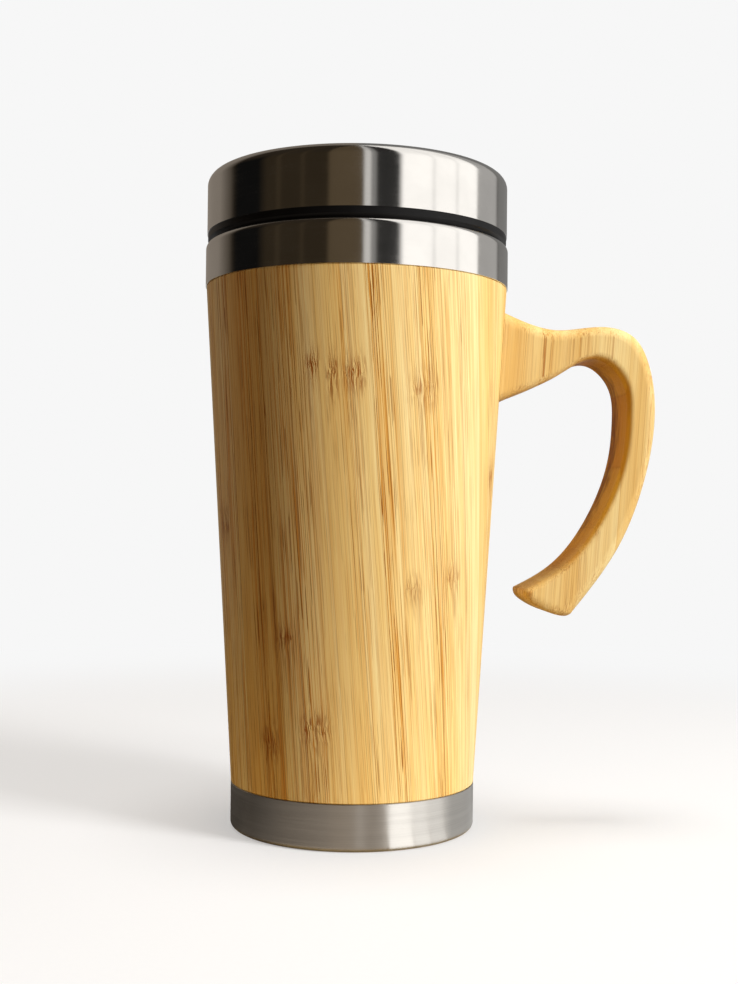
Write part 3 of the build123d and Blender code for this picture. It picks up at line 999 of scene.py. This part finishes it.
ahead = Vector(
    (
        math.sin(camera_yaw) * math.cos(camera_pitch),
        math.cos(camera_yaw) * math.cos(camera_pitch),
        math.sin(camera_pitch),
    )
)
level = Vector((math.cos(camera_yaw), -math.sin(camera_yaw), 0.0))
upright = level.cross(ahead)
rightward = math.cos(camera_roll) * level + math.sin(camera_roll) * upright
upward = -math.sin(camera_roll) * level + math.cos(camera_roll) * upright
stand = Matrix((rightward, upward, -ahead)).transposed().to_4x4()
stand.translation = (0.0, -camera_distance, camera_height)
camera_data = bpy.data.cameras.new("camera")
camera_data.sensor_width = 36.0
camera_data.lens = camera_data.sensor_width * focal_pixels / photo_height
camera_data.clip_start = 0.01
camera = bpy.data.objects.new("camera", camera_data)
camera.matrix_world = Matrix.Rotation(-camera_turn, 4, "Z") @ stand
bpy.context.scene.collection.objects.link(camera)
bpy.context.scene.camera = camera

# Screens and lamps are placed by their angle to the right of the camera, seen from the mug
mug_middle = Vector((0.0, 0.0, 0.09))


def round_the_mug(degrees, distance, height):
    """A place at that angle to the right of the camera, distance and height from the mug."""
    turn = math.radians(degrees) - camera_turn
    return Vector((distance * math.sin(turn), -distance * math.cos(turn), height))


def aim(thing, place, target):
    """Puts a lamp at a place, facing a target."""
    thing.location = place
    thing.rotation_mode = "QUATERNION"
    thing.rotation_quaternion = (target - place).to_track_quat("-Z", "Y")


def soft_lamp(name, degrees, distance, height, width, tall, watts, colour):
    """A rectangular soft lamp that faces the middle of the mug."""
    lamp = bpy.data.lights.new(name, "AREA")
    lamp.shape = "RECTANGLE"
    lamp.size = width
    lamp.size_y = tall
    lamp.energy = watts
    lamp.color = colour
    thing = bpy.data.objects.new(name, lamp)
    bpy.context.scene.collection.objects.link(thing)
    aim(thing, round_the_mug(degrees, distance, height), mug_middle)
    return thing


white = (1.0, 1.0, 1.0)
plain = (1.0, 0.98, 0.95)
dusk = (1.0, 0.86, 0.72)
warm = (1.0, 0.72, 0.42)
amber = (1.0, 0.615, 0.25)
rosy = (1.0, 0.85, 0.74)
# Lamps: angle, distance, height, width, how tall, watts and colour
key_lamp = soft_lamp("key_lamp", 57.0, 1.0, 0.5, 0.3, 0.7, 13.4, white)
rim_lamp = soft_lamp("rim_lamp", -120.0, 1.0, 0.3, 0.8, 0.8, 2.45, rosy)
top_lamp = soft_lamp("top_lamp", 0.0, 0.01, 1.4, 0.4, 0.4, 9.0, plain)
for lamp in (key_lamp, rim_lamp, top_lamp):
    lamp.visible_glossy = False

# Screens: the angles where each begins and ends, its soft edge in degrees, its brightness and its
# colour; each hangs in front of the ones before it. The steel mirrors the screen bands, and the light
# bands light the rest.
screen_bands = [
    (-200.0, 200.0, 2.0, 0.034, warm),
    (-200.0, -115.0, 22.0, 0.27, dusk),
    (-105.0, -74.0, 8.0, 0.006, plain),
    (-62.0, -58.0, 2.0, 0.05, warm),
    (-42.0, -39.0, 2.0, 0.05, warm),
    (-21.0, 4.5, 3.0, 0.11, warm),
    (4.5, 10.0, 2.0, 0.8, plain),
    (10.0, 14.0, 2.0, 0.3, plain),
    (14.0, 31.0, 3.0, 0.033, plain),
    (31.5, 101.0, 4.0, 1.52, plain),
    (56.0, 59.0, 2.0, 1.25, plain),
    (77.0, 80.0, 2.0, 1.25, plain),
    (101.0, 130.0, 4.0, 0.52, plain),
    (130.0, 200.0, 8.0, 0.24, plain),
]
light_bands = [
    (-200.0, 200.0, 2.0, 0.034, warm),
    (-200.0, -115.0, 22.0, 0.27, dusk),
    (-40.0, 40.0, 6.0, 0.48, amber),
    (40.0, 75.0, 6.0, 1.57, plain),
]
screen_radius = 1.6
screen_gap = 0.02
wall_top = np.radians([27.0, 44.0])
skylight_edge = np.radians([68.0, 78.0])
skylight = np.array([0.40, 0.38, 0.36])
ceiling = np.array([0.06, 0.045, 0.03])
columns, rows = 720, 40
angles = np.linspace(-180, 180, columns, endpoint=False)
sweep = np.radians(angles) - camera_turn
lift = np.linspace(0, np.pi / 2 - 1e-4, rows)
cloth, tree, shader = new_material("screen cloth")
painted = add(tree, "ShaderNodeAttribute", attribute_name="paint").outputs["Color"]
glow = add(tree, "ShaderNodeEmission", {"Color": painted, "Strength": 1.0})
tree.links.new(glow.outputs[0], tree.nodes["Material Output"].inputs["Surface"])


def painted_round(bands, degrees):
    """Colour at each angle, from band to band: each covers the ones before it, soft at its edges."""
    colours = np.zeros((len(degrees), 3))
    for begin, end, edge, bright, colour in bands:
        begun = np.clip((degrees - begin) / edge + 0.5, 0, 1)
        lasting = np.clip((end - degrees) / edge + 0.5, 0, 1)
        colours += (begun * lasting)[:, None] * (bright * np.array(colour) - colours)
    return colours


def hung_cloth(name, points, colours, faces):
    """A glowing sheet, painted point by point, that the camera doesn't see."""
    sheet = new_piece(name, points, faces)
    paint = np.concatenate([colours, np.ones(colours.shape[:2] + (1,))], axis=-1)
    sheet.data.attributes.new("paint", "FLOAT_COLOR", "POINT").data.foreach_set("color", paint.ravel())
    sheet.data.materials.append(cloth)
    sheet.visible_camera = False
    return sheet


# The screens that light the mug end at a dark ceiling with a skylight in it; those that the steel
# mirrors hang just inside them and go on up to the zenith
dome = np.stack(
    [
        np.outer(np.cos(lift), np.sin(sweep)),
        np.outer(np.cos(lift), -np.cos(sweep)),
        np.outer(np.sin(lift), np.ones(columns)),
    ],
    axis=-1,
)
dome_faces = ring_faces(rows, columns, False)[:, ::-1]
above = np.interp(lift, wall_top, [0.0, 1.0])[:, None, None]
overhead = np.interp(lift, skylight_edge, [0.0, 1.0])[:, None, None]
lit = painted_round(light_bands, angles)[None] * (1 - above) + ceiling * above
lit = lit * (1 - overhead) + skylight * overhead
screens = hung_cloth("studio_screens", dome * screen_radius, lit, dome_faces)
screens.visible_glossy = False
walls = painted_round(screen_bands, angles)
upper_walls = np.maximum(0.85 * walls, 0.5 * ceiling)
mirrored = walls[None] * (1 - above) + upper_walls[None] * above
mirror_dome = dome * (screen_radius - screen_gap)
mirror_screens = hung_cloth("mirrored_screens", mirror_dome, mirrored, dome_faces)
mirror_screens.visible_diffuse = False
mirror_screens.visible_shadow = False

# Cards on the table, which only the steel sees: white on the right, dark on the left. Their edges
# follow the rays that the base cap mirrors, which leave it at about twice the angle where they struck.
card_bands = [
    (-400.0, 400.0, 2.0, 0.75, dusk),
    (-340.0, -65.0, 117.0, 0.01, dusk),
    (34.0, 57.0, 2.0, 2.5, plain),
    (57.0, 75.0, 4.0, 1.8, plain),
    (75.0, 94.0, 5.0, 1.4, plain),
    (94.0, 400.0, 5.0, 0.8, plain),
    (160.0, 400.0, 30.0, 0.01, dusk),
]
card_reach = np.array([0.0005, 0.006, 0.016, 0.04, 0.1, 0.25, 0.57])
card_lift = 0.0004
bounce = angles + np.degrees(np.sin(np.radians(angles)))
bounce_sweep = np.radians(bounce) - camera_turn
card_points = np.stack(
    [
        cap_radius * np.sin(sweep) + np.outer(card_reach, np.sin(bounce_sweep)),
        -cap_radius * np.cos(sweep) - np.outer(card_reach, np.cos(bounce_sweep)),
        np.full((len(card_reach), columns), card_lift),
    ],
    axis=-1,
)
card_paint = np.tile(painted_round(card_bands, bounce), (len(card_reach), 1, 1))
cards = hung_cloth("table_cards", card_points, card_paint, ring_faces(len(card_reach), columns, False))
cards.visible_diffuse = False
cards.visible_transmission = False
cards.visible_shadow = False

bpy.context.scene.view_settings.view_transform = "Standard"
